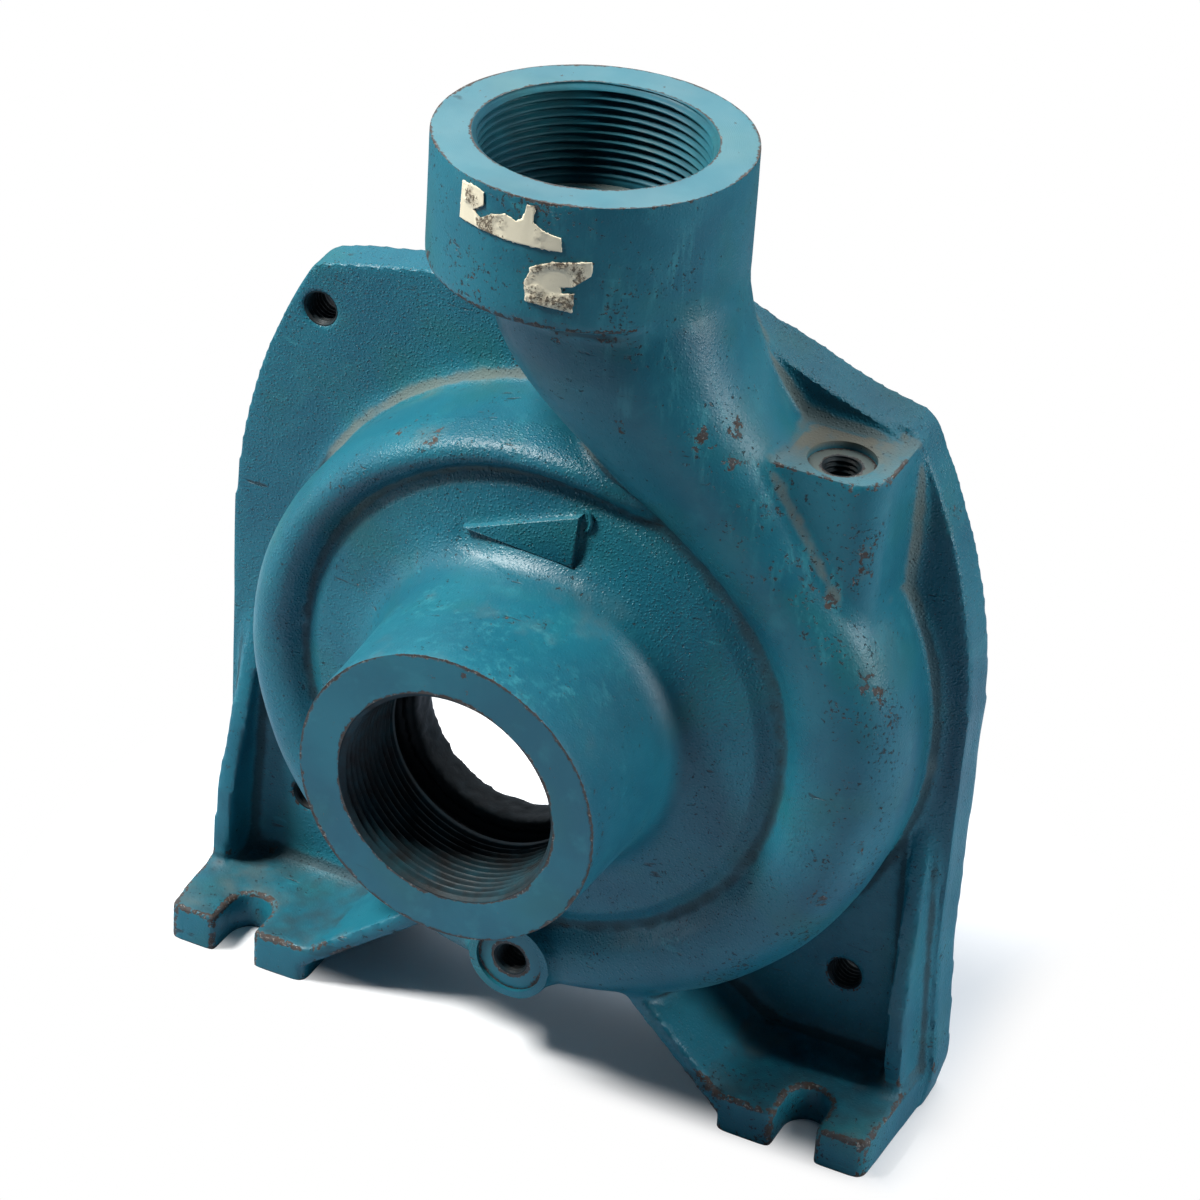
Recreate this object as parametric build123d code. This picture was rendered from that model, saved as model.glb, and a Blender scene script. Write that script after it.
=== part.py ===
from build123d import *
import math
import os

# Cast volute casing of a close-coupled centrifugal pump, one piece of grey iron.
# Origin: the pump axis at the motor face. -Y runs out through the suction nose,
# +X is to the right seen from the suction side, +Z is up. All sizes in millimetres.
# Depths are measured forwards from the motor face, so a depth d lies at y = -d.

# Whole casing
CENTRE_HEIGHT = 112.0
WALL = 6.5

# Port threads, two inch parallel pipe thread, bored at the minor diameter
PORT_BORE_R = 28.35
PORT_MOUTH_R = 29.9
THREAD_LENGTH = 27.0

# Motor flange
FLANGE_T = 12.0
FLANGE_MIDDLE = FLANGE_T / 2
FLANGE_HALF_W = 107.0
FLANGE_FOOT_HALF_W = 110.5
FLANGE_BASE_HALF_W = 108.0
FLANGE_SIDE_TOP = 14.0
FLANGE_FLARE_DROP = 58.0
FLANGE_SHOULDER = (101.2, 50.0)
FLANGE_CORNER = (84.2, 90.5)
FLANGE_CORNER_R = 6.0
FLANGE_TOP = 101.5
FLANGE_BOTTOM = 99.0

# Flange screws: the hole behind the priming boss is blind
SCREW_X = 82.0
SCREW_Z = 77.5
SCREW_HOLE_R = 4.25
SCREW_MOUTH_R = 5.2
BLIND_SCREW_DEPTH = 10.0

# Register, impeller chamber and eye, open to the back
REGISTER_R = 84.0
REGISTER_DEPTH = 6.0
CHAMBER_R = 69.0
CHAMBER_DEPTH = 37.5
EYE_CLEAR_R = 40.0
EYE_BACK = 49.0
EYE_R = 27.0
EYE_FRONT = 59.5
NOSE_CAVITY_R = 31.5

# Front cover and suction nose
COVER_DEPTH = 44.0
COVER_R = 63.0
COVER_CROWN = 1.0
GROOVE_DEPTH = 41.0
GROOVE_R = 67.5
GROOVE_OUTER_R = 71.5
NOSE_LENGTH = 93.0
NOSE_R = 41.0
NOSE_ROOT_R = 42.5
NOSE_FLARE_R = 12.0

# Volute: radius of the outer wall by angle, counter-clockwise from +X seen from the front.
# Its thin tip lies inside the neck: angle, outer wall radius, front depth
VOLUTE_INNER_R = 66.0
VOLUTE_BACK = 2.0
VOLUTE_FRONT = 47.0
VOLUTE_TIP = (62, 76.0, 39.0)
VOLUTE_WALL_R = {
    84: 78.0,
    104: 78.4,
    120: 79.4,
    136: 81.2,
    153: 83.4,
    180: 86.2,
    205: 88.0,
    230: 89.6,
    250: 90.8,
    270: 91.6,
    300: 93.3,
    330: 96.2,
    360: 99.0,
}
VOLUTE_SPLIT = 180
SECTION_POWER = 2.4
PASSAGE_START = 130
PASSAGE_BACK = 12.0

# Discharge neck by height: left edge, right edge, back and front depth
NECK_LEVELS = {
    22: (63.5, 97.2, 2.0, 47.3),
    42: (53.0, 90.2, 2.0, 47.8),
    60: (33.0, 78.5, 2.0, 48.6),
    75: (12.0, 68.0, 2.5, 50.6),
    90: (-6.0, 56.5, 3.0, 54.0),
    105: (-17.0, 46.5, 2.5, 57.0),
}

# The neck and its bore both end as circles inside the boss: height, radius, sideways shift
NECK_END = 129.0
NECK_END_R = 31.0
NECK_END_X = 5.0
NECK_BORE_R = 25.0
NECK_BORE_X = 2.0

# Discharge boss
BOSS_R = 40.0
BOSS_DEPTH = 27.0
BOSS_TOP = 155.0
BOSS_FOOT = 121.0
BOSS_EDGE_R = 2.0

# Web that carries the flange's top edge up to the neck on the right: its top corners
WEB_TOP = ((30.0, 109.5), (38.8, 105.7), (51.7, 101.0), (62.0, 96.8), (80.0, 90.6))
WEB_ROOT = 86.0
WEB_DEPTH = 15.0

# Priming boss beside the neck
PAD_TOP = 88.0
PAD_FOOT = 44.0
PAD_LEFT = 44.0
PAD_RIGHT = 86.0
PAD_FOOT_LEFT = 62.0
PAD_DEPTH = 40.0
PAD_CORNER_R = 9.0
PAD_CHAMFER = 6.0
PRIME_X = 72.0
PRIME_DEPTH = 29.5
PRIME_HOLE_R = 4.5
PRIME_HOLE_END = 54.0
PRIME_SPOT_R = 8.7
PRIME_SPOT_DEPTH = 2.0

# Drain boss under the nose
DRAIN_DROP = 80.0
DRAIN_DEPTH = 49.0
DRAIN_ROOT = 34.0
DRAIN_R = 12.0
DRAIN_SPOT_R = 9.6
DRAIN_SPOT_DEPTH = 1.2
DRAIN_HOLE_R = 4.5
DRAIN_HOLE_END = 24.0

# Feet, with the legs that rise from them to the volute
FOOT_DEPTH = 48.5
FOOT_T = 11.5
FOOT_HALF_W = 105.5
FOOT_INNER = 62.5
FOOT_CORNER_R = 3.0
LEG_T = 5.0
LEG_SLOPE = 0.70
LEG_END = 28.0
LEG_SETBACK = 0.22
SLOT_X = 85.0
SLOT_R = 6.2
SLOT_DEPTH = 32.5
SLOT_OVERCUT = 1.0

# Side ribs standing on the feet
RIB_T = 5.5
RIB_DEPTH = 25.0
RIB_TOP_X = 101.5
RIB_FOOT_X = 106.5
RIB_TOP_DROP = 20.0
RIB_FADE_DROP = 75.0

# Raised flow arrow on the cover: its three corners
ARROW_CORNERS = ((-20.5, 48.8), (10.6, 60.2), (10.4, 46.6))
ARROW_HEIGHT = 2.0
ARROW_ROOT = 3.0

# Torn scraps of a paper label on the discharge boss: angle round the boss, height
PAPER_T = 0.3
UPPER_SCRAP = (
    (-115.5, 153.4), (-108, 153.6), (-105, 153.0), (-104.6, 149.8), (-109.5, 147.4),
    (-106, 146.2), (-101, 148.4), (-95.4, 149.6), (-91.6, 148.6), (-88.9, 149.6),
    (-87.8, 153.6), (-84.9, 153.6), (-85.2, 149.4), (-81, 147.5), (-75.2, 146.6),
    (-74.8, 143.1), (-93.5, 143.2), (-116.2, 143.6),
)
LOWER_SCRAP = (
    (-87.5, 133.4), (-84.9, 138.0), (-78, 140.1), (-64.6, 141.2), (-64.3, 137.6),
    (-70.6, 134.2), (-75.0, 133.9), (-74.0, 132.3), (-69.9, 132.5), (-70.2, 127.7),
    (-77.1, 128.1), (-86.4, 128.8),
)


def box_between(x_low, x_high, y_low, y_high, z_low, z_high):
    """Solid box given by its limits."""
    size = Box(x_high - x_low, y_high - y_low, z_high - z_low)
    middle = ((x_low + x_high) / 2, (y_low + y_high) / 2, (z_low + z_high) / 2)
    return Pos(*middle) * size


def axial_rod(radius, near, far, x=0.0, z=0.0):
    """Cylinder along the pump axis between two depths."""
    return Pos(x, -near, z) * Rot(90, 0, 0) * Cylinder(
        radius, far - near, align=(Align.CENTER, Align.CENTER, Align.MIN))


def upright_rod(radius, low, high, x=0.0, depth=0.0):
    """Cylinder along Z between two heights."""
    return Pos(x, -depth, low) * Cylinder(
        radius, high - low, align=(Align.CENTER, Align.CENTER, Align.MIN))


def front_prism(points, near, far):
    """Outline in X and Z, extruded forwards between two depths."""
    outline = make_face(Polyline(*points, close=True).edges())
    return extrude(Plane.XZ.offset(near) * outline, far - near)


def squircle(plane, u_low, u_high, v_low, v_high, power):
    """Closed curve between two pairs of limits: power 2 is an ellipse, more is squarer."""
    half_u = (u_high - u_low) / 2
    half_v = (v_high - v_low) / 2
    count = 16
    points = []
    for step in range(count):
        turn = 2 * math.pi * step / count
        across = math.copysign(abs(math.cos(turn)) ** (2 / power), math.cos(turn))
        along = math.copysign(abs(math.sin(turn)) ** (2 / power), math.sin(turn))
        points.append((u_low + half_u * (1 + across), v_low + half_v * (1 + along)))
    return plane * make_face(Spline(*points, periodic=True).edges())


def radial_plane(angle):
    """Plane through the pump axis: local x runs outwards, local y towards the nose."""
    turn = math.radians(angle)
    return Plane(origin=(0, 0, 0), x_dir=(math.cos(turn), 0, math.sin(turn)),
                 z_dir=(math.sin(turn), 0, -math.cos(turn)))


def level_plane(height):
    """Level plane: local x runs along +X, local y towards the nose."""
    return Plane(origin=(0, 0, height), x_dir=(1, 0, 0), z_dir=(0, 0, -1))


def volute_section(angle, wall_r, front, gap, back_gap):
    """Volute section on the plane through the axis at one angle."""
    return squircle(radial_plane(angle), VOLUTE_INNER_R, wall_r - gap,
                    VOLUTE_BACK + back_gap, front - gap, SECTION_POWER)


def volute_body():
    """First part of the volute, from its tip inside the neck to the left side."""
    tip_angle, tip_r, tip_front = VOLUTE_TIP
    sections = [volute_section(tip_angle, tip_r, tip_front, 0, 0)]
    for angle, wall_r in VOLUTE_WALL_R.items():
        if angle <= VOLUTE_SPLIT:
            sections.append(volute_section(angle, wall_r, VOLUTE_FRONT, 0, 0))
    return loft(sections)


def passage(first_angle, gap, back_gap, end_r, end_x):
    """Volute and neck from one angle on, drawn in by a gap, that end in a circle."""
    sections = []
    for angle, wall_r in VOLUTE_WALL_R.items():
        if angle >= first_angle:
            sections.append(volute_section(angle, wall_r, VOLUTE_FRONT, gap, back_gap))
    for height, (left, right, back, front) in NECK_LEVELS.items():
        sections.append(squircle(level_plane(height), left + gap, right - gap,
                                 back + back_gap, front - gap, SECTION_POWER))
    sections.append(squircle(level_plane(NECK_END), end_x - end_r, end_x + end_r,
                             BOSS_DEPTH - end_r, BOSS_DEPTH + end_r, 2))
    return loft(sections)


def flange():
    """Rounded plate that takes the motor bracket, cut away between the feet."""
    corner_x, corner_z = FLANGE_CORNER
    side_base = (FLANGE_BASE_HALF_W, -CENTRE_HEIGHT)
    side_foot = (FLANGE_FOOT_HALF_W, FOOT_T - CENTRE_HEIGHT)
    side_flare = (FLANGE_HALF_W, -FLANGE_FLARE_DROP)
    side_top = (FLANGE_HALF_W, FLANGE_SIDE_TOP)
    right_side = [Line(side_base, side_foot),
                  Line(side_foot, side_flare),
                  Line(side_flare, side_top),
                  ThreePointArc(side_top, FLANGE_SHOULDER, FLANGE_CORNER)]
    left_side = [mirror(piece, Plane.YZ) for piece in right_side]
    top = ThreePointArc(FLANGE_CORNER, (0, FLANGE_TOP), (-corner_x, corner_z))
    base = Polyline((-FLANGE_BASE_HALF_W, -CENTRE_HEIGHT), (-FOOT_INNER, -CENTRE_HEIGHT),
                    (-LEG_END, -FLANGE_BOTTOM), (LEG_END, -FLANGE_BOTTOM),
                    (FOOT_INNER, -CENTRE_HEIGHT), side_base)
    edges = [edge for piece in (*right_side, *left_side, top, base) for edge in piece.edges()]
    plate = extrude(Plane.XZ * make_face(edges), FLANGE_T)
    corners = [edge for edge in plate.edges().filter_by(Axis.Y)
               if abs(edge.center().Z - corner_z) < 1]
    return fillet(corners, FLANGE_CORNER_R)


def cover_and_nose():
    """Front cover, groove, flare and suction nose, turned about the pump axis."""
    root = NOSE_ROOT_R + NOSE_FLARE_R
    crown = COVER_DEPTH + COVER_CROWN
    profile = [
        Polyline((0, -FLANGE_MIDDLE), (0, -NOSE_LENGTH), (NOSE_R, -NOSE_LENGTH),
                 (NOSE_ROOT_R, -crown - NOSE_FLARE_R)),
        RadiusArc((NOSE_ROOT_R, -crown - NOSE_FLARE_R), (root, -crown), NOSE_FLARE_R),
        Polyline((root, -crown), (COVER_R, -COVER_DEPTH), (GROOVE_R, -GROOVE_DEPTH),
                 (GROOVE_OUTER_R, -GROOVE_DEPTH), (GROOVE_OUTER_R, -FLANGE_MIDDLE),
                 (0, -FLANGE_MIDDLE)),
    ]
    edges = [edge for piece in profile for edge in piece.edges()]
    return revolve(make_face(edges), Axis.Y, 360)


def discharge_boss():
    """Round boss at the top, with a soft lower edge."""
    boss = upright_rod(BOSS_R, BOSS_FOOT, BOSS_TOP, 0, BOSS_DEPTH)
    lower_edge = boss.edges().sort_by(Axis.Z)[0]
    return fillet(lower_edge, BOSS_EDGE_R)


def priming_boss():
    """Level pad with a block under it that runs down into the volute wall."""
    side = [(PAD_LEFT, PAD_TOP), (PAD_RIGHT, PAD_TOP), (PAD_RIGHT, PAD_FOOT + PAD_CHAMFER),
            (PAD_RIGHT - PAD_CHAMFER, PAD_FOOT), (PAD_FOOT_LEFT, PAD_FOOT)]
    block = front_prism(side, FLANGE_MIDDLE, PAD_DEPTH)
    outer_edge = block.edges().filter_by(Axis.Z).sort_by(Axis.Y)[0]
    return fillet(outer_edge, PAD_CORNER_R)


def drain_boss():
    """Round boss under the nose, facing forwards."""
    return axial_rod(DRAIN_R, DRAIN_ROOT, DRAIN_DEPTH, 0, -DRAIN_DROP)


def arrow():
    """Raised wedge on the cover that shows the flow."""
    return front_prism(ARROW_CORNERS, COVER_DEPTH - ARROW_ROOT, COVER_DEPTH + ARROW_HEIGHT)


def neck_web():
    """Web that carries the flange's top edge up to the neck on the right."""
    inner_x = WEB_TOP[0][0]
    outer_x = WEB_TOP[-1][0]
    return front_prism([*WEB_TOP, (outer_x, WEB_ROOT), (inner_x, WEB_ROOT)], 0, WEB_DEPTH)


def leg():
    """Thin sloping plate from the right foot up to the volute, set back as it rises."""
    foot_top = FOOT_T - CENTRE_HEIGHT
    run = FOOT_INNER - LEG_END
    end_top = foot_top + LEG_SLOPE * run
    drop = LEG_T * math.hypot(1, LEG_SLOPE)
    root = FOOT_INNER + FOOT_CORNER_R
    slab = front_prism([(root, foot_top), (FOOT_INNER, foot_top), (LEG_END, end_top),
                        (LEG_END, end_top - drop), (FOOT_INNER, foot_top - drop),
                        (root, foot_top - drop)], FLANGE_MIDDLE, FOOT_DEPTH)
    plan = Polyline((root, 0), (root, -FOOT_DEPTH), (FOOT_INNER, -FOOT_DEPTH),
                    (LEG_END, LEG_SETBACK * run - FOOT_DEPTH), (LEG_END, 0), close=True)
    column = Pos(0, 0, foot_top - drop) * extrude(make_face(plan.edges()), end_top + drop - foot_top)
    return slab & column


def rib():
    """Upright rib on the right foot that runs back into the flange at its top."""
    side = [(RIB_TOP_X, -RIB_TOP_DROP), (RIB_FOOT_X, -CENTRE_HEIGHT),
            (RIB_FOOT_X - RIB_T, -CENTRE_HEIGHT), (RIB_TOP_X - RIB_T, -RIB_TOP_DROP)]
    fade = Polyline((-FLANGE_MIDDLE, -RIB_TOP_DROP), (-FLANGE_T, -RIB_TOP_DROP),
                    (-RIB_DEPTH, -RIB_FADE_DROP), (-RIB_DEPTH, -CENTRE_HEIGHT),
                    (-FLANGE_MIDDLE, -CENTRE_HEIGHT), close=True)
    return front_prism(side, FLANGE_MIDDLE, RIB_DEPTH) & extrude(
        Plane.YZ * make_face(fade.edges()), RIB_FOOT_X + RIB_T)


def right_foot():
    """Flat foot whose outer side spreads towards the flange."""
    plan = Polyline((FOOT_INNER, -FLANGE_MIDDLE), (FOOT_INNER, -FOOT_DEPTH),
                    (FOOT_HALF_W, -FOOT_DEPTH), (FLANGE_BASE_HALF_W, -FLANGE_MIDDLE), close=True)
    foot = Pos(0, 0, -CENTRE_HEIGHT) * extrude(make_face(plan.edges()), FOOT_T)
    front_corners = foot.edges().filter_by(Axis.Z).sort_by(Axis.Y)[:2]
    return fillet(front_corners, FOOT_CORNER_R)


def foot_slot(side):
    """Open-fronted slot of one foot."""
    low = -CENTRE_HEIGHT
    high = FOOT_T + SLOT_OVERCUT - CENTRE_HEIGHT
    middle = side * SLOT_X
    lane = box_between(middle - SLOT_R, middle + SLOT_R, -FOOT_DEPTH - SLOT_OVERCUT, -SLOT_DEPTH - SLOT_R,
                       low, high)
    return lane + upright_rod(SLOT_R, low, high, middle, SLOT_DEPTH + SLOT_R)


def hollow():
    """Everything inside the walls: register, chamber, passage, eye and both ports."""
    space = axial_rod(REGISTER_R, 0, REGISTER_DEPTH)
    space += axial_rod(CHAMBER_R, 0, CHAMBER_DEPTH)
    space += axial_rod(EYE_CLEAR_R, CHAMBER_DEPTH, EYE_BACK)
    space += axial_rod(EYE_R, EYE_BACK, EYE_FRONT)
    thread_end = NOSE_LENGTH - THREAD_LENGTH
    space += axial_rod(NOSE_CAVITY_R, EYE_FRONT, thread_end)
    space += axial_rod(PORT_BORE_R, thread_end, NOSE_LENGTH)
    space += passage(PASSAGE_START, WALL, PASSAGE_BACK - VOLUTE_BACK, NECK_BORE_R, NECK_BORE_X)
    space += upright_rod(PORT_BORE_R, BOSS_TOP - THREAD_LENGTH, BOSS_TOP, 0, BOSS_DEPTH)
    return space


def port_mouths():
    """Lead-in chamfers of both port threads."""
    step = PORT_MOUTH_R - PORT_BORE_R
    cone = Cone(PORT_BORE_R, PORT_MOUTH_R, step, align=(Align.CENTER, Align.CENTER, Align.MIN))
    suction = Pos(0, step - NOSE_LENGTH, 0) * Rot(90, 0, 0) * cone
    discharge = Pos(0, -BOSS_DEPTH, BOSS_TOP - step) * cone
    return suction + discharge


def screw_holes():
    """Tapped holes of the flange: one is blind, the others have a countersunk front mouth."""
    step = SCREW_MOUTH_R - SCREW_HOLE_R
    cone = Cone(SCREW_HOLE_R, SCREW_MOUTH_R, step, align=(Align.CENTER, Align.CENTER, Align.MIN))
    holes = [axial_rod(SCREW_HOLE_R, 0, BLIND_SCREW_DEPTH, SCREW_X, SCREW_Z)]
    for x, z in ((-SCREW_X, SCREW_Z), (-SCREW_X, -SCREW_Z), (SCREW_X, -SCREW_Z)):
        holes.append(axial_rod(SCREW_HOLE_R, 0, FLANGE_T, x, z))
        holes.append(Pos(x, step - FLANGE_T, z) * Rot(90, 0, 0) * cone)
    return Compound(holes)


def plug_holes():
    """Tapped holes and spot faces of the priming and drain bosses."""
    priming = upright_rod(PRIME_HOLE_R, PRIME_HOLE_END, PAD_TOP, PRIME_X, PRIME_DEPTH)
    priming += upright_rod(PRIME_SPOT_R, PAD_TOP - PRIME_SPOT_DEPTH, PAD_TOP, PRIME_X, PRIME_DEPTH)
    drain = axial_rod(DRAIN_HOLE_R, DRAIN_HOLE_END, DRAIN_DEPTH, 0, -DRAIN_DROP)
    drain += axial_rod(DRAIN_SPOT_R, DRAIN_DEPTH - DRAIN_SPOT_DEPTH, DRAIN_DEPTH, 0, -DRAIN_DROP)
    return priming, drain


def casing():
    """The casting as one solid."""
    body = flange() + cover_and_nose()
    body += passage(VOLUTE_SPLIT, 0, 0, NECK_END_R, NECK_END_X)
    body += volute_body()
    body += discharge_boss()
    body += priming_boss()
    body += drain_boss()
    body += arrow()
    body += neck_web()
    for piece in (right_foot(), leg(), rib()):
        body += piece
        body += mirror(piece, Plane.YZ)
    for cut in (hollow(), port_mouths(), screw_holes(), *plug_holes(), foot_slot(1), foot_slot(-1)):
        body -= cut
    return body


def paper_scrap(outline):
    """Thin scrap of paper that lies on the side of the discharge boss."""
    shell = upright_rod(BOSS_R + PAPER_T, BOSS_FOOT, BOSS_TOP, 0, BOSS_DEPTH)
    shell -= upright_rod(BOSS_R, BOSS_FOOT, BOSS_TOP, 0, BOSS_DEPTH)
    middle = math.radians(sum(angle for angle, _ in outline) / len(outline))
    facing = Plane(origin=(0, -BOSS_DEPTH, 0), x_dir=(-math.sin(middle), math.cos(middle), 0),
                   z_dir=(math.cos(middle), math.sin(middle), 0))
    points = []
    for angle, height in outline:
        points.append((BOSS_R * math.sin(math.radians(angle) - middle), height))
    stamp = extrude(facing * make_face(Polyline(*points, close=True).edges()), 2 * BOSS_R)
    return shell & stamp


os.makedirs("parts", exist_ok=True)
nodes = {
    "pump_casing": casing(),
    "label_scrap_upper": paper_scrap(UPPER_SCRAP),
    "label_scrap_lower": paper_scrap(LOWER_SCRAP),
}
for name, shape in nodes.items():
    shape.label = name
    export_step(shape, f"parts/{name}.step")
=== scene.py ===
import itertools
import logging
import math
from dataclasses import dataclass, field
from enum import Enum
from typing import Any

import bmesh
import bpy
import numpy as np
from mathutils import Matrix, Vector
from mathutils.kdtree import KDTree


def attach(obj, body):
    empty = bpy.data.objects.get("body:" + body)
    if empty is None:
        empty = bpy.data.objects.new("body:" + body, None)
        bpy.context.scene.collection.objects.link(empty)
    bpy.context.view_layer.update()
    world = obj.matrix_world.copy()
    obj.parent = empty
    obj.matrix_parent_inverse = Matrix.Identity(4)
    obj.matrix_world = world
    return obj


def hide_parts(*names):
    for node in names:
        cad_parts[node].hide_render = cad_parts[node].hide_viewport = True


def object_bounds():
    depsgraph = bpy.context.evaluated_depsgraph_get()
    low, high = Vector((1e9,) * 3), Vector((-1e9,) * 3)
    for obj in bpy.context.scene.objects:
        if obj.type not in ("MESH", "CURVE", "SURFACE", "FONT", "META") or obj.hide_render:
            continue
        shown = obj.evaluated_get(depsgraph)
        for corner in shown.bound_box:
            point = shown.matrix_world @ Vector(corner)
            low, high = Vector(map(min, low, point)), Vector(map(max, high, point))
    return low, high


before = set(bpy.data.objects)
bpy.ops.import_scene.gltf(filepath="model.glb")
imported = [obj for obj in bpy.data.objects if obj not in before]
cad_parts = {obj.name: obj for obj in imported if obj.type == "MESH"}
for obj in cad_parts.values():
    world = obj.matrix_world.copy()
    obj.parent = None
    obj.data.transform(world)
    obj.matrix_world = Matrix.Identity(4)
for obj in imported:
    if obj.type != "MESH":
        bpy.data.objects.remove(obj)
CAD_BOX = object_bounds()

MM = 0.001
BODY = "root"
CASING_NODE = "pump_casing"
Colour = tuple[float, float, float]
Place = tuple[float, float, float]
Span = tuple[float, float]
HASH_AXES = np.array((73856093, 19349663, 83492791))
HASH_SEED = 2654435761
HASH_MIX = 1274126177

log = logging.getLogger("pump_casing")


class Facing(Enum):
    """The way a port, hole or machined face looks, as a unit vector."""

    FORWARD = (0.0, -1.0, 0.0)
    BACK = (0.0, 1.0, 0.0)
    UP = (0.0, 0.0, 1.0)

    def matrix(self) -> Matrix:
        """Turn that takes +Z to this direction."""
        return Vector((0, 0, 1)).rotation_difference(Vector(self.value)).to_matrix().to_4x4()


class Value:
    """A shader value that takes part in ordinary arithmetic."""

    def __init__(self, tree: bpy.types.NodeTree, socket: bpy.types.NodeSocket) -> None:
        """Wrap one output socket.

        Args:
            tree: The node tree that owns the socket.
            socket: The output socket.
        """
        self.tree = tree
        self.socket = socket

    def _math(self, operation: str, *terms: "Value | float") -> "Value":
        """Add one Math node.

        Args:
            operation: The node's operation.
            terms: The node's inputs, in order.

        Returns:
            The result as a value.
        """
        node = self.tree.nodes.new("ShaderNodeMath")
        node.operation = operation
        for port, term in zip(node.inputs, terms):
            if isinstance(term, Value):
                self.tree.links.new(term.socket, port)
            else:
                port.default_value = term
        return Value(self.tree, node.outputs[0])

    def __add__(self, other: "Value | float") -> "Value":
        """Sum."""
        return self._math("ADD", self, other)

    def __sub__(self, other: "Value | float") -> "Value":
        """Difference."""
        return self._math("SUBTRACT", self, other)

    def __rsub__(self, other: "Value | float") -> "Value":
        """Difference with this value taken away."""
        return self._math("SUBTRACT", other, self)

    def __mul__(self, other: "Value | float") -> "Value":
        """Product."""
        return self._math("MULTIPLY", self, other)

    __radd__ = __add__
    __rmul__ = __mul__

    def most(self, other: "Value | float") -> "Value":
        """Larger of two values."""
        return self._math("MAXIMUM", self, other)

    def least(self, other: "Value | float") -> "Value":
        """Smaller of two values."""
        return self._math("MINIMUM", self, other)

    def wave(self) -> "Value":
        """Sine of the value in radians."""
        return self._math("SINE", self)

    def ease(self, low: float, high: float) -> "Value":
        """Smooth step.

        Args:
            low: Input that gives 0.
            high: Input that gives 1.

        Returns:
            A value from 0 to 1.
        """
        node = self.tree.nodes.new("ShaderNodeMapRange")
        node.interpolation_type = "SMOOTHSTEP"
        self.tree.links.new(self.socket, node.inputs[0])
        node.inputs[1].default_value = low
        node.inputs[2].default_value = high
        return Value(self.tree, node.outputs[0])


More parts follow.
